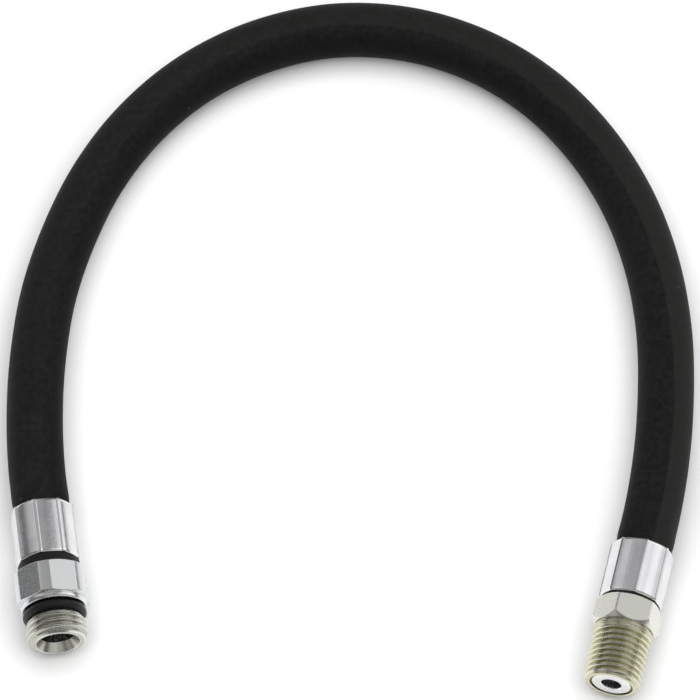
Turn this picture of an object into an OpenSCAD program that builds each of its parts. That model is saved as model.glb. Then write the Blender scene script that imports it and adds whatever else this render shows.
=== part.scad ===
// Hydraulic hose assembly: a crimped rubber hose with a swivelling fitting on each end.
// It lies on z = 0, arched away from the two fittings, which point towards -Y.
// The origin is on the surface, midway between the two fittings.

/* [Hose] */
// Outside diameter of the rubber cover
hose_od = 13.4; // [13.2:0.1:13.6]
// Outside diameter of the wire braid
braid_od = 10.2; // [10:0.1:10.6]
// Outside diameter of the inner tube
tube_od = 9.2; // [8.8:0.1:9.4]
// Inside diameter of the inner tube
tube_id = 6.4; // [6.3:0.1:6.8]
// How far each crimped ferrule squeezes the cover in, on the radius
hose_squeeze = 0.4; // [0.1:0.1:0.5]

/* [Crimped ferrules] */
// Length of both ferrules
ferrule_len = 14; // [13.6:0.1:14.2]
// Diameter over the ridges between the crimp flats
ferrule_ridge_od = 15.3; // [15.1:0.1:15.6]
// Width across opposite crimp flats
ferrule_flats = 14.6; // [14.4:0.1:14.8]
// Turn of the left ferrule's ridges about its axis
left_crimp_turn = 12.5; // [0:0.5:45]
// Turn of the right ferrule's ridges about its axis
right_crimp_turn = 40; // [0:0.5:45]

/* [Stems] */
// Diameter of the flow passage through both stems
flow_bore = 4.7; // [4.4:0.1:4.8]
// Outside diameter of the nipples inside the hose
nipple_od = 6.16; // [6:0.02:6.16]
// Diameter of the left stem's swivel journal
left_journal = 9; // [8.8:0.1:9.2]
// Diameter of the right stem's swivel journal
right_journal = 7.8; // [7.6:0.1:8]
// Running clearance between a journal and its bore, on the radius
running_gap = 0.05; // [0.02:0.01:0.08]
// Diameter of the rolled head that holds the right body on its stem
head_od = 9.4; // [9.2:0.1:9.6]

/* [Left swivel stud] */
// Width across the left hexagon's flats
left_hex_flats = 16.2; // [16:0.05:16.4]
// Turned diameter over the left hexagon's corners
left_hex_od = 17.4; // [17.2:0.1:17.8]
// Turn of the left hexagon about its axis
left_hex_turn = 38.5; // [0:0.5:60]
// Outside diameter of the dust ring behind the left hexagon
dust_ring_od = 14.6; // [14:0.1:14.8]
// Diameter of the collar in front of the left hexagon
collar_od = 15.8; // [15.6:0.1:15.9]
// Major diameter of the left straight thread, 9/16-18 UNF
left_major = 14.28; // [14.1:0.02:14.3]
// Diameter of the neck that carries the port O-ring
neck_od = 10.6; // [10.4:0.1:11]
// Section of the port O-ring
port_ring_section = 2.2; // [2:0.1:2.2]
// Diameter of the bore in front of the left stem
front_bore = 7.8; // [7.4:0.1:8]
// Mouth diameter of the 60 degree cone in the left stud
cone_mouth = 10.3; // [10:0.1:10.6]

/* [Right swivel body] */
// Width across the right hexagon's flats, 9/16 in
right_hex_flats = 14.2875; // [14.2:0.0125:14.4]
// Diameter over the right hexagon's corners, which are hardly turned
right_hex_od = 16.4; // [16.2:0.1:16.5]
// Turn of the right hexagon about its axis
right_hex_turn = 48.5; // [0:0.5:60]
// Major diameter of the right pipe thread at its small end, 1/4-18 NPT
right_small_major = 13.26; // [13.1:0.02:13.3]
// Diameter of the recess around the right stem's head
recess_d = 10.2; // [10:0.1:10.4]

/* [Threads] */
// Pitch of both threads, 18 turns to the inch
pitch = 1.411; // [1.4:0.001:1.42]
// Depth of the left thread
left_thread_depth = 0.76; // [0.7:0.02:0.8]
// Depth of the right thread
right_thread_depth = 1; // [0.9:0.02:1.1]

/* [Hidden] */
$fn = 96;

// Centre line of the hose, from its end inside the left ferrule to its end inside the right one.
// The second point and the last but one are the mouths of the ferrules.
ROUTE = [[-69, 10, 8.6], [-70.6, 21.9, 8.6], [-72, 32, 8.6], [-73, 49, 8.2], [-72.5, 65, 7.6],
         [-70.5, 81, 7], [-66, 97.5, 6.7], [-59, 114, 6.7], [-49, 129, 6.7], [-36, 141.5, 6.7],
         [-20, 150.5, 6.7], [-2, 155, 6.7], [16, 154, 6.7], [33, 148, 6.7], [48, 137.5, 6.7],
         [60, 123.5, 6.7], [69, 107, 6.7], [74.5, 89.5, 6.7], [77, 71.5, 6.9], [77, 53.5, 7.3],
         [75.5, 36.5, 7.9], [73, 22, 8.3], [70.5, 11.5, 8.3], [68, 1, 8.3]];
LAST = len(ROUTE) - 1;
HOSE_SIDES = 12;
// Distance outside a ferrule's mouth where the hose is back to its full diameter
SWELL = 2;

// Stations along a fitting's axis, in mm from its ferrule's mouth towards its free end.
NIPPLE_START = -2.1;
BARBS = 3;
BARB_STEP = 3.2;
LIP = 1.2;
SHOULDER_OD = 11;
GROOVE_OD = 9.2;
left_hose_end = norm(ROUTE[0] - ROUTE[1]);
right_hose_end = norm(ROUTE[LAST] - ROUTE[LAST - 1]);

LEFT_HEX_START = 16.4;
LEFT_STRIP_END = 24.3;
LEFT_COLLAR_START = 24.55;
LEFT_COLLAR_END = 26;
LEFT_RELIEF_START = 28.8;
LEFT_THREAD_START = 29.5;
LEFT_END = 34.5;
LEFT_JOURNAL_END = 25;
LEFT_BORE_END = 25.4;
LEFT_WIRE_AT = 18.2;
LEFT_GLAND = [20.1, 22.8];
LEFT_GLAND_R = 6;

RIGHT_HEX_START = 14.5;
RIGHT_STRIP_END = 19.6;
RIGHT_FACE_END = 20.9;
RIGHT_GROOVE = [20.97, 21.32];
RIGHT_NECK_START = 21.6;
RIGHT_NECK_END = 22.2;
RIGHT_END = 35.3;
RIGHT_RECESS_START = 33.75;
RIGHT_GLAND = [16.4, 19];
RIGHT_GLAND_R = 5.4;

WIRE_R = 0.5;
WIRE_GROOVE_R = 0.55;
BACKUP_LEN = 0.9;
PORT_RING_GAP = 0.2;
TAPER = 1 / 32;
CREST = 0.36;
EPS = 0.01;

left_bore_r = left_journal / 2 + running_gap;
right_bore_r = right_journal / 2 + running_gap;
// Turn of each fitting's axis about Z, away from -Y
left_turn = atan2(ROUTE[0][0] - ROUTE[1][0], ROUTE[1][1] - ROUTE[0][1]);
right_turn = atan2(ROUTE[LAST][0] - ROUTE[LAST - 1][0], ROUTE[LAST - 1][1] - ROUTE[LAST][1]);

// ---------- hose ----------

function unit(v) = v / norm(v);

// Centre line with an extra station just outside each mouth
function stations() = concat(
    [ROUTE[0], ROUTE[1], ROUTE[1] + SWELL * unit(ROUTE[2] - ROUTE[1])],
    [for (i = [2 : LAST - 2]) ROUTE[i]],
    [ROUTE[LAST - 1] + SWELL * unit(ROUTE[LAST - 2] - ROUTE[LAST - 1]), ROUTE[LAST - 1], ROUTE[LAST]]);

function heading(p, i) = unit(p[min(i + 1, len(p) - 1)] - p[max(i - 1, 0)]);

function ring(c, t, r) = let (side = unit(cross(t, [0, 0, 1])), up = cross(side, t))
    [for (j = [0 : HOSE_SIDES - 1]) let (a = 360 * j / HOSE_SIDES)
        c + r * (cos(a) * side + sin(a) * up)];

// Triangles between rings i and i + 1 of the skin that starts at point b, turned inwards if inside
function band(b, i, inside) = [for (j = [0 : HOSE_SIDES - 1]) let (n = (j + 1) % HOSE_SIDES,
    o = b + i * HOSE_SIDES, k = o + HOSE_SIDES) each inside ?
        [[o + j, k + j, o + n], [k + j, k + n, o + n]] :
        [[o + j, o + n, k + j], [k + j, o + n, k + n]]];

// The ring of triangles that closes the tube at ring i, between its outer and inner skins
function cap(b, i, far_end) = [for (j = [0 : HOSE_SIDES - 1]) let (n = (j + 1) % HOSE_SIDES,
    o = i * HOSE_SIDES, k = b + o) each far_end ?
        [[o + j, o + n, k + j], [o + n, k + n, k + j]] :
        [[o + j, k + j, o + n], [o + n, k + j, k + n]]];

// A hollow layer of the hose; squeeze takes its outside in where the ferrules grip it
module hose_layer(outer_d, inner_d, squeeze = 0) {
    p = stations();
    m = len(p);
    outer = [for (i = [0 : m - 1]) let (gripped = i < 2 || i > m - 3)
        each ring(p[i], heading(p, i), outer_d / 2 - (gripped ? squeeze : 0))];
    inner = [for (i = [0 : m - 1]) each ring(p[i], heading(p, i), inner_d / 2)];
    b = m * HOSE_SIDES;
    faces = concat(
        [for (i = [0 : m - 2]) each band(0, i, false)],
        [for (i = [0 : m - 2]) each band(b, i, true)],
        cap(b, 0, false), cap(b, m - 1, true));
    polyhedron(points = concat(outer, inner), faces = faces, convexity = 6);
}

module hose_cover() {
    color([0.11, 0.11, 0.12]) hose_layer(hose_od, braid_od, hose_squeeze);
}

module wire_braid() {
    color([0.7, 0.7, 0.68]) hose_layer(braid_od, tube_od);
}

module inner_tube() {
    color([0.16, 0.16, 0.17]) hose_layer(tube_od, tube_id);
}

// ---------- shared shapes, each along +Z from the ferrule's mouth ----------

module on_left() {
    translate(ROUTE[1]) rotate([90, 0, left_turn]) children();
}

module on_right() {
    translate(ROUTE[LAST - 1]) rotate([90, 0, right_turn]) children();
}

module bore(d, from, to) {
    translate([0, 0, from]) cylinder(d = d, h = to - from);
}

module washer(outer_d, inner_d, from, to) {
    difference() {
        bore(outer_d, from, to);
        bore(inner_d, from - 1, to + 1);
    }
}

module ring_of(section_r, centre_r, at) {
    translate([0, 0, at]) rotate_extrude() translate([centre_r, 0]) circle(r = section_r, $fn = 48);
}

// A crimped ferrule: eight flats between narrow ridges, and a lip that locks in the stem's groove
module ferrule(turn) {
    edge = 0.5;
    grip_r = hose_od / 2 - hose_squeeze;
    ridge_r = ferrule_ridge_od / 2;
    difference() {
        intersection() {
            rotate([0, 0, turn]) cylinder(d = ferrule_flats / cos(22.5), h = ferrule_len, $fn = 8);
            rotate_extrude() polygon([[0, 0], [ridge_r - edge, 0], [ridge_r, edge],
                                      [ridge_r, ferrule_len - edge],
                                      [ridge_r - edge, ferrule_len], [0, ferrule_len]]);
        }
        bore(2 * grip_r, -1, ferrule_len - LIP);
        bore(GROOVE_OD, 1, ferrule_len + 1);
    }
}

// A stem from its nipple to its ferrule's end; barbs are V grooves with square backs
module stem_root(hose_end) {
    groove = 0.24;
    r = nipple_od / 2;
    difference() {
        union() {
            rotate_extrude() polygon(concat(
                [[0, NIPPLE_START], [r - groove, NIPPLE_START]],
                [for (i = [0 : BARBS - 1]) let (s = NIPPLE_START + i * BARB_STEP)
                    each [[r, s + 1.2], [r, s + 2.2], [r - groove, s + 2.2]]],
                [[r, NIPPLE_START + BARBS * BARB_STEP + 1.2], [r, hose_end + EPS],
                 [0, hose_end + EPS]]));
            bore(SHOULDER_OD, hose_end, ferrule_len - LIP);
            bore(GROOVE_OD, hose_end, ferrule_len);
        }
        bore(flow_bore, NIPPLE_START - 1, ferrule_len + 1);
    }
}

// A hexagon with turned corners, chamfered behind; front is its turned outline in front,
// as [radius, station] from the end of the corners' strips
module hexagon(flats, corner_d, turn, rear, start, front) {
    r = corner_d / 2;
    end = front[len(front) - 1][1];
    intersection() {
        translate([0, 0, start]) rotate([0, 0, turn])
            cylinder(d = flats / cos(30), h = end - start, $fn = 6);
        rotate_extrude() polygon(concat(
            [[0, start], [r - rear, start], [r, start + rear / 2]], front, [[0, end]]));
    }
}

// Outline of a thread's crests and grooves between two stations, taper in radius per mm
function thread_outline(from, turns, end_s, end_r, depth, taper) = [
    for (i = [0 : turns - 1]) let (s = from + i * pitch, r = end_r + (end_s - s) * taper)
        each [[r - depth, s], [r, s + (pitch - CREST) / 2], [r, s + (pitch + CREST) / 2],
              [r - depth, s + pitch - EPS]]];

// ---------- left end ----------

module left_ferrule() {
    color([0.86, 0.86, 0.87]) on_left() ferrule(left_crimp_turn);
}

module left_stem() {
    color([0.74, 0.75, 0.76]) on_left() difference() {
        union() {
            stem_root(left_hose_end);
            bore(left_journal, ferrule_len - 1, LEFT_JOURNAL_END);
        }
        bore(flow_bore, ferrule_len - 2, LEFT_JOURNAL_END + 1);
        ring_of(WIRE_GROOVE_R, left_journal / 2, LEFT_WIRE_AT);
    }
}

module left_dust_ring() {
    color([0.07, 0.07, 0.08]) on_left()
        washer(dust_ring_od, left_journal, ferrule_len, LEFT_HEX_START - running_gap);
}

module left_stud() {
    major_r = left_major / 2;
    end_r = major_r - left_thread_depth;
    rear = 0.8;
    turns = 3;
    last = LEFT_THREAD_START + turns * pitch;
    chamfer = 0.6;
    cone_len = (cone_mouth - front_bore) / 2 / tan(30);
    color([0.72, 0.74, 0.76]) on_left() difference() {
        union() {
            hexagon(left_hex_flats, left_hex_od, left_hex_turn, rear, LEFT_HEX_START,
                    [[left_hex_od / 2, LEFT_STRIP_END], [collar_od / 2, LEFT_COLLAR_START]]);
            bore(collar_od, LEFT_COLLAR_START - EPS, LEFT_COLLAR_END);
            rotate_extrude() polygon(concat(
                [[0, LEFT_COLLAR_START], [neck_od / 2, LEFT_COLLAR_START],
                 [neck_od / 2, LEFT_RELIEF_START], [end_r, LEFT_RELIEF_START]],
                thread_outline(LEFT_THREAD_START, turns, LEFT_END, major_r, left_thread_depth, 0),
                [[end_r, last], [end_r, LEFT_END - chamfer], [end_r - chamfer, LEFT_END],
                 [0, LEFT_END]]));
        }
        bore(2 * left_bore_r, LEFT_HEX_START - 1, LEFT_BORE_END);
        bore(front_bore, LEFT_BORE_END - 1, LEFT_END + 1);
        translate([0, 0, LEFT_END - cone_len]) cylinder(d1 = front_bore, d2 = cone_mouth, h = cone_len);
        ring_of(WIRE_GROOVE_R, left_journal / 2, LEFT_WIRE_AT);
        bore(2 * LEFT_GLAND_R, LEFT_GLAND[0], LEFT_GLAND[1]);
    }
}

module left_port_o_ring() {
    color([0.08, 0.08, 0.08]) on_left()
        ring_of(port_ring_section / 2, (neck_od + port_ring_section) / 2,
                LEFT_COLLAR_END + port_ring_section / 2 + PORT_RING_GAP);
}

module left_swivel_o_ring() {
    section_r = (LEFT_GLAND_R - left_bore_r) / 2;
    color([0.08, 0.08, 0.08]) on_left()
        ring_of(section_r, left_bore_r + section_r, LEFT_GLAND[0] + section_r);
}

module left_backup_ring() {
    color([0.92, 0.92, 0.9]) on_left()
        washer(2 * LEFT_GLAND_R, 2 * left_bore_r, LEFT_GLAND[1] - BACKUP_LEN, LEFT_GLAND[1]);
}

module left_retaining_wire() {
    color([0.6, 0.6, 0.6]) on_left() ring_of(WIRE_R, left_journal / 2, LEFT_WIRE_AT);
}

// ---------- right end ----------

module right_ferrule() {
    color([0.86, 0.86, 0.87]) on_right() ferrule(right_crimp_turn);
}

module right_stem() {
    head_start = RIGHT_RECESS_START + running_gap;
    head_end = RIGHT_END - 0.2;
    color([0.9, 0.9, 0.9]) on_right() difference() {
        union() {
            stem_root(right_hose_end);
            bore(right_journal, ferrule_len - 1, head_start + EPS);
            bore(head_od, head_start, head_end);
        }
        bore(flow_bore, ferrule_len - 2, head_end + 1);
    }
}

module right_thrust_washer() {
    color([0.07, 0.07, 0.08]) on_right()
        washer(ferrule_flats, right_journal, ferrule_len, RIGHT_HEX_START - running_gap);
}

module right_body() {
    end_r = right_small_major / 2;
    groove_r = 6.3;
    face_r = 7.1;
    rear = 1.2;
    chamfer = 0.7;
    runout = 0.4;
    turns = 8;
    first = RIGHT_NECK_END + runout;
    neck_r = end_r + (RIGHT_END - RIGHT_NECK_END) * TAPER;
    last = first + turns * pitch;
    root_r = end_r - right_thread_depth;
    color([0.74, 0.72, 0.56]) on_right() difference() {
        union() {
            hexagon(right_hex_flats, right_hex_od, right_hex_turn, rear, RIGHT_HEX_START,
                    [[right_hex_od / 2, RIGHT_STRIP_END], [face_r, RIGHT_FACE_END],
                     [groove_r, RIGHT_GROOVE[0]], [groove_r, RIGHT_GROOVE[1]],
                     [face_r, RIGHT_NECK_START], [neck_r, RIGHT_NECK_END]]);
            rotate_extrude() polygon(concat(
                [[0, RIGHT_NECK_END - 1], [root_r, RIGHT_NECK_END - 1], [neck_r, RIGHT_NECK_END],
                 [neck_r, first - EPS]],
                thread_outline(first, turns, RIGHT_END, end_r, right_thread_depth, TAPER),
                [[end_r, last + 0.6], [end_r, RIGHT_END - chamfer],
                 [end_r - chamfer, RIGHT_END], [0, RIGHT_END]]));
        }
        bore(2 * right_bore_r, RIGHT_HEX_START - 1, RIGHT_END + 1);
        bore(recess_d, RIGHT_RECESS_START, RIGHT_END + 1);
        bore(2 * RIGHT_GLAND_R, RIGHT_GLAND[0], RIGHT_GLAND[1]);
    }
}

module right_swivel_o_ring() {
    section_r = (RIGHT_GLAND_R - right_bore_r) / 2;
    color([0.08, 0.08, 0.08]) on_right()
        ring_of(section_r, right_bore_r + section_r, RIGHT_GLAND[0] + section_r);
}

module right_backup_ring() {
    color([0.92, 0.92, 0.9]) on_right()
        washer(2 * RIGHT_GLAND_R, 2 * right_bore_r, RIGHT_GLAND[1] - BACKUP_LEN, RIGHT_GLAND[1]);
}

hose_cover();
wire_braid();
inner_tube();
left_ferrule();
left_stem();
left_dust_ring();
left_stud();
left_port_o_ring();
left_swivel_o_ring();
left_backup_ring();
left_retaining_wire();
right_ferrule();
right_stem();
right_thrust_washer();
right_body();
right_swivel_o_ring();
right_backup_ring();
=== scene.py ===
import math

import bmesh
import bpy
import numpy as np
from mathutils import Matrix, Vector


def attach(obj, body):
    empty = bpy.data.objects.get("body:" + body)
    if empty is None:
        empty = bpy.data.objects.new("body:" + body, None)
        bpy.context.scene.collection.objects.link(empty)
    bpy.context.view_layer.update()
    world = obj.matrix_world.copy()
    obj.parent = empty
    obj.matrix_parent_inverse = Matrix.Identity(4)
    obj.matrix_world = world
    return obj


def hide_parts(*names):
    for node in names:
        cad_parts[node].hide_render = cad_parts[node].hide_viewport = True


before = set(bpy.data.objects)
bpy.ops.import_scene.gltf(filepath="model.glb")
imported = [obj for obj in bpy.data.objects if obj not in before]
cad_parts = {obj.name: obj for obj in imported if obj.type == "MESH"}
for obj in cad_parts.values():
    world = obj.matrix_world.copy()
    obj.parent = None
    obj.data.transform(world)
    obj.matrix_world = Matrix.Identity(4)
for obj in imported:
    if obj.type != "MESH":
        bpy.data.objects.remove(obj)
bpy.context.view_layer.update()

# Sizes and stations are in millimetres, along a fitting's axis from the mouth of its ferrule.
# Meshes and places are in metres, in the CAD model's frame.
MM = 0.001

# ---------- route of the hose, the same points as in part.scad ----------

ROUTE = np.array([
    (-69, 10, 8.6), (-70.6, 21.9, 8.6), (-72, 32, 8.6), (-73, 49, 8.2), (-72.5, 65, 7.6),
    (-70.5, 81, 7), (-66, 97.5, 6.7), (-59, 114, 6.7), (-49, 129, 6.7), (-36, 141.5, 6.7),
    (-20, 150.5, 6.7), (-2, 155, 6.7), (16, 154, 6.7), (33, 148, 6.7), (48, 137.5, 6.7),
    (60, 123.5, 6.7), (69, 107, 6.7), (74.5, 89.5, 6.7), (77, 71.5, 6.9), (77, 53.5, 7.3),
    (75.5, 36.5, 7.9), (73, 22, 8.3), (70.5, 11.5, 8.3), (68, 1, 8.3)])

HOSE_R = 6.7
BRAID_R = 5.1
TUBE_R = 4.6
TUBE_BORE_R = 3.2
GRIPPED_R = 6.3
RING_SPACING = 1.5
# Gap between two pieces that touch
FACE_GAP = 0.02


def fitting_frame(mouth, hose_end):
    """Places a fitting: local Z runs along its axis to its free end, local Y is up."""
    z = Vector(hose_end - mouth).normalized()
    y = Vector((0, 0, 1))
    x = y.cross(z)
    place = Matrix((x, y, z)).transposed().to_4x4()
    place.translation = Vector(mouth) * MM
    return place


LEFT = fitting_frame(ROUTE[1], ROUTE[0])
RIGHT = fitting_frame(ROUTE[-2], ROUTE[-1])

# ---------- camera ----------

VIEW_ELEVATION = math.radians(62)
VIEW_DISTANCE = 1.4148
VIEW_LENS = 304.4
SENSOR = 36
VIEW_CENTRE = Vector((0.00185, 0.06598, 0.00677))


def add_camera():
    back = Vector((0, -math.cos(VIEW_ELEVATION), math.sin(VIEW_ELEVATION)))
    data = bpy.data.cameras.new("camera")
    data.lens = VIEW_LENS
    data.sensor_width = SENSOR
    data.clip_end = 20
    camera = bpy.data.objects.new("camera", data)
    camera.location = VIEW_CENTRE + back * VIEW_DISTANCE
    camera.rotation_euler = back.to_track_quat("Z", "Y").to_euler()
    bpy.context.scene.collection.objects.link(camera)
    bpy.context.scene.camera = camera


add_camera()

# ---------- mesh building ----------


def closed_mesh(name, rings, edge, thread=None, uv=None):
    """A closed mesh from rings of points, where the last ring joins the first.

    rings has the shape (rings, points, 3), in metres. thread is (first ring, last ring, rings in
    a turn) of a stretch whose rings follow a helix, so each ends where a later one starts.
    edge is 1 on worn edges and 0 elsewhere. uv is (along, around), which need no seam.
    """
    count, sides = rings.shape[:2]
    ring, side = np.meshgrid(np.arange(count), np.arange(sides), indexing="ij")
    next_ring, next_side = (ring + 1) % count, (side + 1) % sides
    across, across_next = ring.copy(), next_ring.copy()
    if thread:
        first, last, turn = thread
        seam = (next_side == 0) & (ring >= first) & (ring < last)
        across[seam] = np.minimum(ring[seam] + turn, last)
        across_next[seam] = np.minimum(ring[seam] + 1 + turn, last)
    corners = np.stack([ring * sides + side, across * sides + next_side,
                        across_next * sides + next_side, next_ring * sides + side], axis=-1)
    mesh = bpy.data.meshes.new(name)
    mesh.from_pydata(rings.reshape(-1, 3).tolist(), [], corners.reshape(-1, 4).tolist())
    mesh.attributes.new("edge", "FLOAT", "POINT").data.foreach_set(
        "value", np.ascontiguousarray(edge, np.float32).ravel())
    if uv:
        along, around = uv
        u = np.stack([along[ring], along[ring], along[next_ring], along[next_ring]], axis=-1)
        v = np.stack([around[side], around[side + 1], around[side + 1], around[side]], axis=-1)
        layer = mesh.uv_layers.new(name="hose")
        layer.data.foreach_set("uv", np.stack([u, v], axis=-1).astype(np.float32).ravel())
    work = bmesh.new()
    work.from_mesh(mesh)
    bmesh.ops.remove_doubles(work, verts=work.verts, dist=1e-6)
    bmesh.ops.dissolve_degenerate(work, edges=work.edges, dist=1e-7)
    bmesh.ops.recalc_face_normals(work, faces=work.faces)
    work.to_mesh(mesh)
    work.free()
    mesh.polygons.foreach_set("use_smooth", [True] * len(mesh.polygons))
    mesh.update()
    piece = bpy.data.objects.new(name, mesh)
    bpy.context.scene.collection.objects.link(piece)
    return piece


def finish_piece(piece, body, slot, material, *nodes):
    piece.data.materials.append(material)
    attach(piece, body)
    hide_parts(*nodes)
    return piece


def soft_min(a, b, width):
    """The smaller of a and b, rounded where they cross."""
    h = np.maximum(width - np.abs(a - b), 0) / width
    return np.minimum(a, b) - h * h * width / 4


def smooth_step(x, start, end):
    t = np.clip((x - start) / (end - start), 0, 1)
    return t * t * (3 - 2 * t)


ROUND = np.linspace(0, 2 * math.pi, 144, endpoint=False)
EDGE_OFFSETS = (-2.4, -1.4, -0.7, 0, 0.7, 1.4, 2.4)


def flat_angles(count, turn, half_flat):
    """Angles round a shape with flats, closer together at the edges of each flat.

    turn is the angle of a corner, and half_flat half the angle that a flat takes, in degrees.
    """
    sector = 360 / count
    near = [side * half_flat + o for side in (-1, 1) for o in EDGE_OFFSETS]
    plain = [a for a in np.linspace(-sector / 2, sector / 2, 21)[:-1]
             if min(abs(a - n) for n in near) > 0.6]
    one = np.array(near + plain) + turn + sector / 2
    angles = np.concatenate([one + k * sector for k in range(count)]) % 360
    return np.radians(np.unique(np.round(angles, 6)))


def from_flat(angles, count, turn):
    """The angle of each point from the middle of its own flat."""
    sector = 2 * math.pi / count
    return (angles - math.radians(turn)) % sector - sector / 2


def rounded(corners, angles):
    """Rings of (station, radius, edge) round a closed outline.

    Each corner is (station, radius, reach): a curve starts that far before it and ends that far
    after it. Stations and radii are numbers, or one number for each angle.
    """
    n = len(angles)
    points = np.array([[np.broadcast_to(s, n), np.broadcast_to(r, n)] for s, r, _ in corners],
                      float)
    rings, starts = [], []
    for k, (_, _, reach) in enumerate(corners):
        starts.append(len(rings))
        here = points[k]
        if reach == 0:
            rings.append([*here, np.zeros(n)])
            continue
        ways = []
        for other in (points[k - 1], points[(k + 1) % len(corners)]):
            way = other - here
            size = np.linalg.norm(way, axis=0)
            ways.append((way / np.maximum(size, 1e-9), size))
        shorter = np.minimum(ways[0][1], ways[1][1])
        eased = np.minimum(reach, 0.4 * shorter)
        a, b = (here + way * eased for way, _ in ways)
        rings.append([*(here + ways[0][0] * eased * 1.2), np.zeros(n)])
        for t in (0, 0.25, 0.5, 0.75, 1):
            curve = (1 - t) ** 2 * a + 2 * t * (1 - t) * here + t * t * b
            rings.append([*curve, np.full(n, 4 * t * (1 - t))])
        rings.append([*(here + ways[1][0] * eased * 1.2), np.zeros(n)])
    return rings, starts


def turned(name, place, corners, angles=ROUND, thread=None):
    """A turned piece with this closed outline; thread is (corner it follows, its rings, turn)."""
    rings, starts = rounded(corners, angles)
    stretch = None
    if thread:
        after, threads, turn = thread
        at = starts[after] + 1
        rings[at:at] = threads
        stretch = (at, at + len(threads) - 1, turn)
    s, r, edge = (np.array([ring[i] for ring in rings]) for i in range(3))
    points = np.stack([r * np.cos(angles), r * np.sin(angles), s], axis=-1) * MM
    piece = closed_mesh(name, points, edge, stretch)
    piece.matrix_world = place
    return piece


# ---------- the hose ----------


def smooth_line(points, spacing):
    """Points this far apart on a smooth curve through the given ones."""
    chord = np.linalg.norm(np.diff(points, axis=0), axis=1)
    at = np.concatenate([[0], np.cumsum(chord)])
    slope = np.gradient(points, at, axis=0)
    fine = []
    t = np.linspace(0, 1, 40, endpoint=False)[:, None]
    for i, length in enumerate(chord):
        fine.append((2 * t**3 - 3 * t**2 + 1) * points[i]
                    + (t**3 - 2 * t**2 + t) * length * slope[i]
                    + (3 * t**2 - 2 * t**3) * points[i + 1]
                    + (t**3 - t**2) * length * slope[i + 1])
    fine = np.concatenate([*fine, points[-1:]])
    walked = np.concatenate([[0], np.cumsum(np.linalg.norm(np.diff(fine, axis=0), axis=1))])
    wanted = np.linspace(0, walked[-1], round(walked[-1] / spacing) + 1)
    return np.stack([np.interp(wanted, walked, fine[:, k]) for k in range(3)], axis=1), wanted


LINE, WALKED = smooth_line(ROUTE, RING_SPACING)
MOUTH_IN = (np.linalg.norm(ROUTE[1] - ROUTE[0]), np.linalg.norm(ROUTE[-1] - ROUTE[-2]))
BULGE = 0.07


def cover_radius():
    """Radius of the cover: gripped in the ferrules, with a slight bulge just outside each."""
    inside = np.maximum(MOUTH_IN[0] - WALKED, WALKED - (WALKED[-1] - MOUTH_IN[1]))
    outside = -inside
    swell = smooth_step(outside, -0.3, 2.2)
    bulge = BULGE * np.exp(-((outside - 3.6) / 1.6) ** 2)
    return GRIPPED_R + (HOSE_R - GRIPPED_R) * swell + bulge


def hose_layer(name, outer, inner, sides):
    """A hollow layer of the hose; outer and inner are radii, numbers or one for each ring."""
    heading = np.gradient(LINE, axis=0)
    heading /= np.linalg.norm(heading, axis=1)[:, None]
    side = np.cross(heading, (0, 0, 1))
    side /= np.linalg.norm(side, axis=1)[:, None]
    up = np.cross(side, heading)
    angles = np.linspace(0, 2 * math.pi, sides + 1)
    round_it = (side[:, None] * np.cos(angles[:-1])[None, :, None]
                + up[:, None] * np.sin(angles[:-1])[None, :, None])
    skins = [LINE[:, None] + round_it * np.broadcast_to(r, len(LINE))[:, None, None]
             for r in (outer, inner)]
    rings = np.concatenate([skins[0], skins[1][::-1]]) * MM
    along = np.concatenate([WALKED, WALKED[::-1]]) * MM
    return closed_mesh(name, rings, np.zeros(rings.shape[:2]), uv=(along, angles / (2 * math.pi)))


# ---------- materials ----------


def add(tree, kind, inputs=(), **settings):
    """Adds a shader node; inputs maps its sockets to values or to other nodes' sockets."""
    node = tree.nodes.new("ShaderNode" + kind)
    for key, value in settings.items():
        setattr(node, key, value)
    for socket, value in dict(inputs).items():
        if isinstance(value, bpy.types.NodeSocket):
            tree.links.new(value, node.inputs[socket])
        else:
            node.inputs[socket].default_value = value
    return node


def calc(tree, operation, a, b=0.0):
    return add(tree, "Math", {0: a, 1: b}, operation=operation).outputs[0]


def weighted(tree, *parts):
    """The sum of values, each times its weight; a part is (value, weight)."""
    total = calc(tree, "MULTIPLY", *parts[0])
    for part in parts[1:]:
        total = calc(tree, "ADD", total, calc(tree, "MULTIPLY", *part))
    return total


def remap(tree, value, low, high, to_low, to_high):
    sockets = {"Value": value, "From Min": low, "From Max": high, "To Min": to_low,
               "To Max": to_high}
    return add(tree, "MapRange", sockets).outputs[0]


def blend_colour(tree, factor, a, b):
    node = add(tree, "Mix", {0: factor, 6: a, 7: b}, data_type="RGBA")
    return node.outputs[2]


def noise(tree, coords, per_metre, detail=3.0, stretch=(1, 1, 1)):
    """Noise with about this many lumps to the metre, drawn out by stretch."""
    scaled = add(tree, "Mapping", {"Vector": coords, "Scale": stretch}).outputs[0]
    sockets = {"Vector": scaled, "Scale": per_metre, "Detail": detail}
    return add(tree, "TexNoise", sockets).outputs[0]


def bump(tree, height, depth, strength):
    sockets = {"Height": height, "Distance": depth, "Strength": strength}
    return add(tree, "Bump", sockets).outputs[0]


def new_material(name, **constants):
    """A material and its node tree, with the shader's sockets set from the constants."""
    material = bpy.data.materials.new(name)
    material.use_nodes = True
    tree = material.node_tree
    shader = tree.nodes["Principled BSDF"]
    for key, value in constants.items():
        shader.inputs[key.replace("_", " ")].default_value = value
    return material, tree, shader


def drive(tree, shader, **sockets):
    for key, value in sockets.items():
        tree.links.new(value, shader.inputs[key.replace("_", " ")])


THREADS_ROUND = 66
THREAD_PITCH = 0.64 * MM
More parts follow.
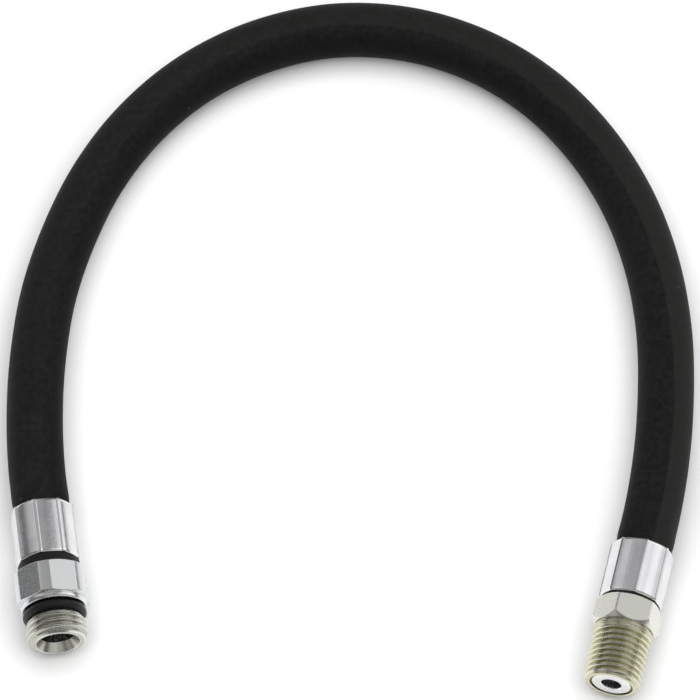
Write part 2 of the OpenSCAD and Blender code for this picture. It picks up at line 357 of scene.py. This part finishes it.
# Stretches along the hose, in metres, for the three values below: the painted sheen (a brighter
# side standing in for a reflection of the studio light) grows stronger over the first and its edge
# drifts outwards over the second, and the painted shade inside the arch ends over the third.
PAINTED_SHEEN_ALONG = (0.05, 0.3)
PAINTED_SHEEN_EDGE_ALONG = (0.24, 0.33)
PAINTED_SHADE_END = (0.24, 0.3)
# Places round the hose, as fractions of a turn, for the three values below (the edge and the end
# of the painted sheen, and the middle of the painted shade): 0 is inside the arch and 0.25 is on
# top.
PAINTED_SHEEN_EDGE = (0.194, 0.297)
PAINTED_SHEEN_END = (0.55, 0.62)
PAINTED_SHADE_MIDDLE = 0.92


def cover_rubber():
    """Black rubber with the imprint of the cloth it was cured in and a little dust, with a painted
    sheen (a brighter side standing in for a reflection of the studio light) whose edge runs along
    the hose on top, and painted shade on the side inside the arch."""
    material, tree, shader = new_material("hose_rubber", Specular_IOR_Level=0.25, IOR=1.25)
    uv = add(tree, "UVMap", uv_map="hose").outputs[0]
    along, around, _ = add(tree, "SeparateXYZ", {0: uv}).outputs
    place = add(tree, "TexCoord").outputs["Object"]
    wander = calc(tree, "MULTIPLY", noise(tree, place, 500, 2), 2.2)
    warp = calc(tree, "MULTIPLY", along, 2 * math.pi / THREAD_PITCH)
    weft = calc(tree, "MULTIPLY", around, 2 * math.pi * THREADS_ROUND)
    one = calc(tree, "SINE", calc(tree, "ADD", calc(tree, "ADD", warp, weft), wander))
    two = calc(tree, "SINE", calc(tree, "ADD", calc(tree, "SUBTRACT", warp, weft), wander))
    weave = calc(tree, "MULTIPLY", one, two)
    patches = noise(tree, place, 120, 4)
    grain = noise(tree, place, 4000, 2)
    streaks = noise(tree, uv, 60, 3, stretch=(1, 3, 1))
    smudges = remap(tree, noise(tree, place, 700, 3), 0.35, 0.65, 0.05, 0.4)
    tone = weighted(tree, (patches, 0.4), (weave, 0.16), (smudges, 1.0), (streaks, 0.2))
    colour = blend_colour(tree, tone, (0.003, 0.003, 0.0029, 1), (0.0165, 0.0163, 0.016, 1))

    # Painted sheen: a brighter band on the outer side of the cover, standing in for the reflection
    # of the studio light.
    edge = remap(tree, along, *PAINTED_SHEEN_EDGE_ALONG, *PAINTED_SHEEN_EDGE)
    past_painted_sheen_edge = calc(tree, "SUBTRACT", around, edge)
    painted_sheen = calc(tree, "MULTIPLY", remap(tree, past_painted_sheen_edge, -0.004, 0.006, 0, 1),
                   remap(tree, along, *PAINTED_SHEEN_ALONG, 0.1, 0.55))
    painted_sheen = calc(tree, "MULTIPLY", painted_sheen, remap(tree, around, *PAINTED_SHEEN_END, 1, 0))
    colour = blend_colour(tree, painted_sheen, colour, (0.022, 0.0218, 0.021, 1))

    # Painted shade: the side of the cover inside the arch is made near black, standing in for the
    # shade there.
    turn = calc(tree, "MULTIPLY", calc(tree, "SUBTRACT", around, PAINTED_SHADE_MIDDLE), 2 * math.pi)
    painted_shade = calc(tree, "MULTIPLY", remap(tree, calc(tree, "COSINE", turn), -0.1, 0.9, 0, 0.7),
                  remap(tree, along, *PAINTED_SHADE_END, 1, 0))
    colour = blend_colour(tree, painted_shade, colour, (0.001, 0.001, 0.001, 1))

    cells = add(tree, "TexVoronoi", {"Vector": place, "Scale": 160.0}).outputs
    speck = calc(tree, "LESS_THAN", cells["Distance"], 0.028)
    pick = add(tree, "SeparateXYZ", {0: cells["Color"]}).outputs[0]
    chosen = calc(tree, "GREATER_THAN", pick, 0.62)
    dust = calc(tree, "MULTIPLY", calc(tree, "MULTIPLY", speck, chosen), 0.55)
    colour = blend_colour(tree, dust, colour, (0.2, 0.2, 0.2, 1))

    rough = remap(tree, weighted(tree, (patches, 1.0), (grain, 0.4)), 0.3, 1.0, 0.52, 0.68)
    height = weighted(tree, (weave, 0.5), (grain, 0.5))
    drive(tree, shader, Base_Color=colour, Roughness=rough,
          Normal=bump(tree, height, 0.05 * MM, 0.7))
    return material


def plated_steel(name, colour, other, rough, drawn=0.0, turned=0.0, streaks=0.0, lumpy=0.004,
                 thread=None):
    """Zinc-plated steel: colour drifts to other in patches, and edges are worn bright.

    drawn is the depth of the fine lines along the axis, turned that of the lines round it, streaks
    that of the broad marks along it and lumpy that of the skin, in mm. thread is (station, colour)
    of a stretch in front whose plating differs.
    """
    material, tree, shader = new_material(name, Metallic=1.0)
    place = add(tree, "TexCoord").outputs["Object"]
    patches = noise(tree, place, 180, 3)
    lumps = noise(tree, place, 2200, 3)
    fine = noise(tree, place, 9000, 2)
    edge = add(tree, "Attribute", attribute_name="edge").outputs["Fac"]
    shade = blend_colour(tree, remap(tree, patches, 0.38, 0.62, 0, 1), colour, other)
    if thread:
        station, threaded = thread
        along = add(tree, "SeparateXYZ", {0: place}).outputs[2]
        front = remap(tree, along, (station - 0.3) * MM, station * MM, 0, 1)
        shade = blend_colour(tree, front, shade, threaded)
    dirt = remap(tree, lumps, 0.35, 0.65, 0.14, 0)
    shade = blend_colour(tree, dirt, shade, (0.3, 0.3, 0.3, 1))
    shade = blend_colour(tree, calc(tree, "MULTIPLY", edge, 0.6), shade, (0.9, 0.9, 0.9, 1))
    roughness = remap(tree, lumps, 0.3, 0.7, rough - 0.04, rough + 0.05)
    roughness = calc(tree, "SUBTRACT", roughness, calc(tree, "MULTIPLY", edge, 0.08))
    marks = [(lumps, lumpy), (fine, 0.001)]
    for depth, per_metre, stretch in ((drawn, 2600, (1, 1, 0.02)), (turned, 4000, (0.01, 0.01, 1)),
                                      (streaks, 850, (1, 1, 0.03))):
        if depth:
            marks.append((noise(tree, place, per_metre, stretch=stretch), depth))
    drive(tree, shader, Base_Color=shade, Roughness=roughness,
          Normal=bump(tree, weighted(tree, *marks), MM, 1.0))
    return material


def plain_surface(name, colour, other, rough, per_metre, depth, **constants):
    """A moulded or extruded surface with a fine grain and slight patches."""
    material, tree, shader = new_material(name, **constants)
    place = add(tree, "TexCoord").outputs["Object"]
    patches = noise(tree, place, 150, 3)
    grain = noise(tree, place, per_metre, 3)
    shade = blend_colour(tree, patches, colour, other)
    roughness = remap(tree, grain, 0.3, 0.7, rough - 0.07, rough + 0.07)
    drive(tree, shader, Base_Color=shade, Roughness=roughness,
          Normal=bump(tree, grain, depth, 0.4))
    return material


HOSE_RUBBER = cover_rubber()
FERRULE_ZINC = plated_steel("ferrule_zinc", (0.82, 0.82, 0.83, 1), (0.74, 0.74, 0.76, 1), 0.22,
                            drawn=0.006, streaks=0.035, lumpy=0.002)
STEM_STEEL = plated_steel("stem_steel", (0.84, 0.84, 0.84, 1), (0.78, 0.78, 0.79, 1), 0.25,
                          turned=0.002, lumpy=0.002)
BLUE_ZINC = plated_steel("blue_zinc", (0.68, 0.72, 0.75, 1), (0.73, 0.74, 0.72, 1), 0.26,
                         turned=0.002, lumpy=0.005, thread=(28.8, (0.5, 0.5, 0.44, 1)))
YELLOW_ZINC = plated_steel("yellow_zinc", (0.76, 0.78, 0.68, 1), (0.77, 0.75, 0.72, 1), 0.26,
                           turned=0.002, lumpy=0.0015, thread=(21.2, (0.63, 0.61, 0.44, 1)))
BRAID_WIRE = plated_steel("braid_wire", (0.62, 0.58, 0.48, 1), (0.56, 0.54, 0.5, 1), 0.35,
                          drawn=0.01)
TUBE_RUBBER = plain_surface("tube_rubber", (0.012, 0.012, 0.012, 1), (0.02, 0.02, 0.02, 1),
                            0.5, 2500, 0.02 * MM, Specular_IOR_Level=0.4)
SEAL_RUBBER = plain_surface("seal_rubber", (0.004, 0.004, 0.004, 1), (0.008, 0.008, 0.008, 1),
                            0.4, 2500, 0.015 * MM, Specular_IOR_Level=0.3)
BLACK_RING = plain_surface("black_ring", (0.006, 0.005, 0.006, 1), (0.01, 0.009, 0.01, 1),
                           0.5, 1800, 0.03 * MM, Specular_IOR_Level=0.25)
WHITE_PTFE = plain_surface("white_ptfe", (0.8, 0.8, 0.77, 1), (0.74, 0.74, 0.72, 1),
                           0.45, 1500, 0.02 * MM, Subsurface_Weight=0.1)

# ---------- the hose's three layers ----------

cover = hose_layer("hose_cover_moulded", cover_radius(), BRAID_R + FACE_GAP, 72)
braid = hose_layer("wire_braid_layer", BRAID_R - FACE_GAP, TUBE_R + FACE_GAP, 48)
liner = hose_layer("inner_tube_extruded", TUBE_R - FACE_GAP, TUBE_BORE_R, 48)
finish_piece(cover, "hose", "hose_rubber", HOSE_RUBBER, "hose_cover")
finish_piece(braid, "hose", "braid_wire", BRAID_WIRE, "wire_braid")
finish_piece(liner, "hose", "tube_rubber", TUBE_RUBBER, "inner_tube")

# ---------- stations along each fitting, the same as in part.scad ----------

FERRULE_LEN = 14

LEFT_HEX_START = 16.4
LEFT_WIRE_AT = 18.2
LEFT_GLAND = (20.1, 22.8)
LEFT_STRIP_END = 24.3
LEFT_JOURNAL_END = 25
LEFT_BORE_END = 25.4
LEFT_COLLAR_END = 26
LEFT_RELIEF_START = 28.8
LEFT_THREAD_START = 29.5
LEFT_END = 34.5

RIGHT_HEX_START = 14.5
RIGHT_GLAND = (16.4, 19)
RIGHT_STRIP_END = 19.6
RIGHT_FACE_END = 20.9
RIGHT_GROOVE = (20.97, 21.32)
RIGHT_NECK_START = 21.6
RIGHT_NECK_END = 22.2
RIGHT_RECESS_START = 33.75
RIGHT_HEAD = (33.8, 35.1)
RIGHT_END = 35.3

LEFT_JOURNAL_R = 4.5
RIGHT_JOURNAL_R = 3.9
RUNNING_GAP = 0.05

# ---------- ferrules ----------

FERRULE_FLAT_R = 7.3
FERRULE_RIDGE_R = 7.68
DIE_FACE_R = 12
RIDGE_HALF = 2.6
RIDGE_FOOT = 4.4
GROOVE_R = 4.6
LIP = 1.2


def crimped_radius(angles, turn):
    """Radius of a crimped ferrule: eight slightly round die faces with raised ridges between."""
    off = from_flat(angles, 8, turn)
    c = FERRULE_FLAT_R - DIE_FACE_R
    face = c * np.cos(off) + np.sqrt(DIE_FACE_R**2 - (c * np.sin(off)) ** 2)
    height = FERRULE_RIDGE_R + 0.02 * np.sin(3 * angles) - face
    from_ridge = 22.5 - np.degrees(np.abs(off))
    return face + height * (1 - smooth_step(from_ridge, RIDGE_HALF, RIDGE_FOOT))


def ferrule(name, place, turn):
    angles = flat_angles(8, turn, 22.5 - (RIDGE_HALF + RIDGE_FOOT) / 2)
    r = crimped_radius(angles, turn)
    end = FERRULE_LEN
    return turned(name, place, [
        (0, GRIPPED_R, 0.1), (0, r - 0.12, 0.25), (0.5, r, 0.4), (end - 0.5, r, 0.4),
        (end, r - 0.12, 0.25), (end, GROOVE_R, 0.1), (end - LIP, GROOVE_R, 0.1),
        (end - LIP, GRIPPED_R, 0.1)], angles)


finish_piece(ferrule("left_ferrule_crimped", LEFT, 12.5), "hose", "ferrule_zinc", FERRULE_ZINC,
             "left_ferrule")
finish_piece(ferrule("right_ferrule_crimped", RIGHT, 40), "hose", "ferrule_zinc", FERRULE_ZINC,
             "right_ferrule")

# ---------- stems ----------

NIPPLE_START = -2.1
FLOW_R = 2.35
NIPPLE_R = 3.08
SHOULDER_R = 5.5
HEAD_R = 4.7
WIRE_GROOVE_DEPTH = 0.45


def stem_start(hose_end):
    """Corners of a stem's outside, from its nipple to the groove that the ferrule grips."""
    barbs = [(NIPPLE_START + 3.2 * k + s, NIPPLE_R - drop, 0.03) for k in range(3)
             for s, drop in ((0, 0.24), (1.2, 0), (2.2, 0), (2.2, 0.24))]
    in_groove = FERRULE_LEN - LIP - FACE_GAP
    return barbs + [
        (NIPPLE_START + 9.6, NIPPLE_R - 0.24, 0), (NIPPLE_START + 10.8, NIPPLE_R, 0),
        (hose_end, NIPPLE_R, 0.05), (hose_end, SHOULDER_R, 0.15), (in_groove, SHOULDER_R, 0.1),
        (in_groove, GROOVE_R - FACE_GAP, 0.05),
        (FERRULE_LEN - FACE_GAP, GROOVE_R - FACE_GAP, 0.05)]


def wire_groove(radius, depth, ease):
    """Corners of the groove for the retaining wire, which goes inwards if depth is negative."""
    half_floor, half_width = 0.3, 0.55
    return [(LEFT_WIRE_AT - half_width, radius, ease),
            (LEFT_WIRE_AT - half_floor, radius + depth, 0.15),
            (LEFT_WIRE_AT + half_floor, radius + depth, 0.15),
            (LEFT_WIRE_AT + half_width, radius, ease)]


def left_stem():
    outside = [(FERRULE_LEN - FACE_GAP, LEFT_JOURNAL_R, 0.05)]
    outside += wire_groove(LEFT_JOURNAL_R, -WIRE_GROOVE_DEPTH, 0.05)
    outside += [(LEFT_JOURNAL_END, LEFT_JOURNAL_R, 0.3)]
    inside = [(LEFT_JOURNAL_END, FLOW_R, 0.25), (NIPPLE_START, FLOW_R, 0.15)]
    return turned("left_stem_turned", LEFT, stem_start(MOUTH_IN[0]) + outside + inside)


def right_stem():
    head_start, head_end = RIGHT_HEAD
    outside = [
        (FERRULE_LEN - FACE_GAP, RIGHT_JOURNAL_R, 0.05), (head_start, RIGHT_JOURNAL_R, 0.05),
        (head_start, HEAD_R, 0.2), (head_end, HEAD_R, 0.35)]
    inside = [(head_end, FLOW_R, 0.3), (NIPPLE_START, FLOW_R, 0.15)]
    return turned("right_stem_turned", RIGHT, stem_start(MOUTH_IN[1]) + outside + inside)


finish_piece(left_stem(), "hose", "stem_steel", STEM_STEEL, "left_stem")
finish_piece(right_stem(), "hose", "stem_steel", STEM_STEEL, "right_stem")

# ---------- threads and hexagons ----------

PITCH = 1.411
CREST_HALF = 0.09
FLANK = 0.44
THREAD_STEPS = np.array([0, 0.05, 0.09, 0.13, 0.2, 0.3, 0.4, 0.48, 0.53, 0.58, 0.64]) / PITCH


def thread_rings(angles, start, end, crest, major, depth, limit):
    """Rings along a right-hand helix from start to end, and how many there are in a turn.

    crest is where a crest is at angle 0. major and depth are functions of the station, and limit
    the turned outline round the thread.
    """
    one = np.unique(np.concatenate([-THREAD_STEPS, THREAD_STEPS, [0.5]]))
    turns = math.ceil((end - start) / PITCH) + 3
    offsets = np.concatenate([crest + (k + one - 2) * PITCH for k in range(turns)])
    rings = []
    for offset in offsets:
        s = np.clip(offset + PITCH * angles / (2 * math.pi), start, end)
        u = np.abs(((s - crest) / PITCH - angles / (2 * math.pi) + 0.5) % 1 - 0.5) * PITCH
        x = (u - CREST_HALF) / FLANK
        fall = soft_min(-soft_min(-x, np.zeros_like(x), 0.35), np.ones_like(x), 0.2)
        r = soft_min(major(s) - depth(s) * fall, limit(s), 0.06)
        rings.append([s, r, 1 - smooth_step(x, -0.05, 0.25)])
    return rings, len(one)


def hexagon(flat_r, corner_r, turn):
    """Angles and radii round a hexagon whose corners are turned down to corner_r."""
    half_flat = math.degrees(math.acos(flat_r / corner_r))
    angles = flat_angles(6, turn, half_flat)
    return angles, soft_min(flat_r / np.cos(from_flat(angles, 6, turn)), corner_r, 0.09)


def cone_station(r, r_a, s_a, r_b, s_b):
    """Where a surface of radius r meets the cone through (s_a, r_a) and (s_b, r_b)."""
    return s_a + (r - r_a) / (r_b - r_a) * (s_b - s_a)


def left_stud():
    corner_r, collar_r, neck_r, major_r, root_r, end_r = 8.7, 7.9, 5.3, 7.14, 6.38, 5.78
    bore, gland_r, front_bore, cone_mouth = LEFT_JOURNAL_R + RUNNING_GAP, 6, 3.9, 5.15
    cone_len = (cone_mouth - front_bore) / math.tan(math.radians(30))
    angles, hexa = hexagon(8.1, corner_r, 38.5)
    threads, turn = thread_rings(
        angles, LEFT_RELIEF_START, LEFT_END, 28.4, lambda s: np.full_like(s, major_r),
        lambda s: np.full_like(s, 0.76),
        lambda s: np.interp(s, (LEFT_RELIEF_START, LEFT_THREAD_START, 33.5, LEFT_END),
                            (root_r, major_r, major_r, end_r)))
    rear = cone_station(hexa, collar_r, LEFT_HEX_START, corner_r, LEFT_HEX_START + 0.4)
    front = cone_station(hexa, corner_r, LEFT_STRIP_END, collar_r, LEFT_STRIP_END + 0.2)
    outside = [
        (LEFT_HEX_START, bore, 0.15), (LEFT_HEX_START, collar_r, 0.1), (rear, hexa, 0.12),
        (front, hexa, 0.1), (24.52, collar_r - 0.02, 0.04), (24.6, collar_r - 0.08, 0.06),
        (25.3, collar_r - 0.04, 0.2), (LEFT_COLLAR_END, 7.7, 0.25),
        (LEFT_COLLAR_END, neck_r, 0.15), (LEFT_RELIEF_START, neck_r, 0.15)]
    round_thread = [(LEFT_RELIEF_START, root_r, 0), (LEFT_END, end_r, 0)]
    inside = [
        (LEFT_END, cone_mouth, 0.15), (LEFT_END - cone_len, front_bore, 0.1),
        (LEFT_BORE_END, front_bore, 0.1), (LEFT_BORE_END, bore, 0.1),
        (LEFT_GLAND[1], bore, 0.05), (LEFT_GLAND[1], gland_r, 0.1),
        (LEFT_GLAND[0], gland_r, 0.1), (LEFT_GLAND[0], bore, 0.05)]
    inside += wire_groove(bore, WIRE_GROOVE_DEPTH, 0.03)[::-1]
    return turned("left_stud_threaded", LEFT, outside + round_thread + inside, angles,
                  (len(outside), threads, turn))


def right_body():
    corner_r, rear_r, face_r, groove_r, neck_r, end_r = 8.2, 7, 7.1, 6.3, 7.04, 5.95
    small_r, taper, recess_r, gland_r = 6.63, 1 / 32, 5.1, 5.4
    bore, start, end = RIGHT_JOURNAL_R + RUNNING_GAP, RIGHT_NECK_END, RIGHT_END
    angles, hexa = hexagon(7.144, corner_r, 48.5)
    threads, turn = thread_rings(
        angles, start, end, 22.85, lambda s: small_r + (end - s) * taper,
        lambda s: (smooth_step(s, start - 0.2, start + 1.6)
                   * (1 - 0.55 * smooth_step(s, 34, end))),
        lambda s: np.interp(s, (start, 34.35, end), (neck_r, 6.66, end_r)))
    rear = cone_station(hexa, rear_r, RIGHT_HEX_START, corner_r, RIGHT_HEX_START + 0.6)
    front = cone_station(hexa, corner_r, RIGHT_STRIP_END, face_r, RIGHT_FACE_END)
    outside = [
        (RIGHT_HEX_START, bore, 0.15), (RIGHT_HEX_START, rear_r, 0.1), (rear, hexa, 0.12),
        (front, hexa, 0.1), (RIGHT_FACE_END + 0.01, face_r - 0.02, 0.03),
        (RIGHT_GROOVE[0], groove_r, 0.08), (RIGHT_GROOVE[1], groove_r, 0.12),
        (RIGHT_NECK_START, face_r, 0.12)]
    round_thread = [(start, neck_r, 0), (end, end_r, 0)]
    inside = [
        (end, recess_r, 0.12), (RIGHT_RECESS_START, recess_r, 0.1),
        (RIGHT_RECESS_START, bore, 0.1), (RIGHT_GLAND[1], bore, 0.05),
        (RIGHT_GLAND[1], gland_r, 0.1), (RIGHT_GLAND[0], gland_r, 0.1),
        (RIGHT_GLAND[0], bore, 0.05)]
    return turned("right_body_threaded", RIGHT, outside + round_thread + inside, angles,
                  (len(outside), threads, turn))


finish_piece(left_stud(), "left_swivel", "blue_zinc", BLUE_ZINC, "left_stud")
finish_piece(right_body(), "right_swivel", "yellow_zinc", YELLOW_ZINC, "right_body")

# ---------- rings ----------


def ring_outline(journal_r, outer_r, hexagon_start, inner_ease, outer_ease):
    """Corners of a ring that fills the gap between a ferrule and its hexagon."""
    start, end = FERRULE_LEN + FACE_GAP, hexagon_start - RUNNING_GAP
    inner_r = journal_r + FACE_GAP
    return [(start, inner_r, inner_ease), (start, outer_r, outer_ease),
            (end, outer_r, outer_ease), (end, inner_r, inner_ease)]


def dust_ring():
    outer = 7.3 + 0.03 * np.sin(5 * ROUND) + 0.02 * np.sin(8 * ROUND + 1)
    return turned("left_dust_ring_moulded", LEFT,
                  ring_outline(LEFT_JOURNAL_R, outer, LEFT_HEX_START, 0.1, 0.35))


def thrust_washer():
    return turned("right_thrust_washer_cut", RIGHT,
                  ring_outline(RIGHT_JOURNAL_R, 7.1, RIGHT_HEX_START, 0.05, 0.12))


finish_piece(dust_ring(), "hose", "black_ring", BLACK_RING, "left_dust_ring")
# The thrust washer is a real part, but it is coloured black also as painted shade, standing in for
# the shadowed gap between the ferrule and the hexagon.
finish_piece(thrust_washer(), "hose", "black_ring", BLACK_RING, "right_thrust_washer")

CAD_FINISHES = {
    "left_port_o_ring": SEAL_RUBBER, "left_swivel_o_ring": SEAL_RUBBER,
    "right_swivel_o_ring": SEAL_RUBBER, "left_backup_ring": WHITE_PTFE,
    "right_backup_ring": WHITE_PTFE, "left_retaining_wire": BRAID_WIRE}
for name, material in CAD_FINISHES.items():
    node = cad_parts[name]
    node.data.materials.clear()
    node.data.materials.append(material)
    node.data.polygons.foreach_set("use_smooth", [True] * len(node.data.polygons))

# ---------- floor and light ----------


def add_floor():
    half = 4
    mesh = bpy.data.meshes.new("floor")
    mesh.from_pydata([(-half, -half, 0), (half, -half, 0), (half, half, 0), (-half, half, 0)], [],
                     [(0, 1, 2, 3)])
    floor = bpy.data.objects.new("floor", mesh)
    floor.location.z = -0.0003
    mesh.materials.append(plain_surface("floor_paper", (0.9, 0.9, 0.9, 1), (0.92, 0.92, 0.92, 1),
                                        0.85, 400, 0.02 * MM, Specular_IOR_Level=0.2))
    bpy.context.scene.collection.objects.link(floor)


def add_softbox(name, place, target, size, power):
    data = bpy.data.lights.new(name, "AREA")
    data.shape = "RECTANGLE"
    data.size, data.size_y = size
    data.energy = power
    lamp = bpy.data.objects.new(name, data)
    lamp.location = place
    lamp.rotation_euler = (Vector(place) - Vector(target)).to_track_quat("Z", "Y").to_euler()
    lamp.visible_camera = False
    bpy.context.scene.collection.objects.link(lamp)
    return lamp


# Parts of the studio round the object: (direction, where it is full, where it ends, brightness).
# The angles are in degrees from the direction.
STUDIO_FILL = 0.15
STUDIO_PARTS = [
    ((0.71, 0.47, 0.52), 8, 27, 0.85),
    ((-0.7, 0.47, 0.53), 4, 22, 0.5),
    ((-0.27, 0.47, 0.84), 8, 36, 0.3),
    ((0.45, 0.28, 0.85), 6, 18, 0.65),
    ((0.9, 0.23, 0.37), 8, 24, 0.5),
    ((0.59, -0.48, 0.66), 8, 28, 0.7),
    ((0, -0.47, 0.88), 8, 32, 0.55),
    ((-0.78, -0.43, 0.46), 6, 24, 0.4)]


def add_light():
    world = bpy.data.worlds.new("studio")
    world.use_nodes = True
    tree = world.node_tree
    direction = add(tree, "TexCoord").outputs["Generated"]
    total = STUDIO_FILL
    for way, full, ends, amount in STUDIO_PARTS:
        near = add(tree, "VectorMath", {0: direction, 1: Vector(way).normalized()},
                   operation="DOT_PRODUCT").outputs["Value"]
        part = add(tree, "MapRange", {
            "Value": near, "From Min": math.cos(math.radians(ends)),
            "From Max": math.cos(math.radians(full)), "To Min": 0.0, "To Max": amount},
            interpolation_type="SMOOTHSTEP").outputs[0]
        total = calc(tree, "ADD", part, total)
    tree.links.new(total, tree.nodes["Background"].inputs["Strength"])
    tree.nodes["Background"].inputs["Color"].default_value = (1, 1, 1, 1)
    bpy.context.scene.world = world
    wash = add_softbox("top_wash", (0, 0, 0.9), (0, 0.065, 0), (1.1, 1.1), 9.5)
    wash.visible_glossy = False
    bpy.context.scene.view_settings.view_transform = "Standard"


add_floor()
add_light()
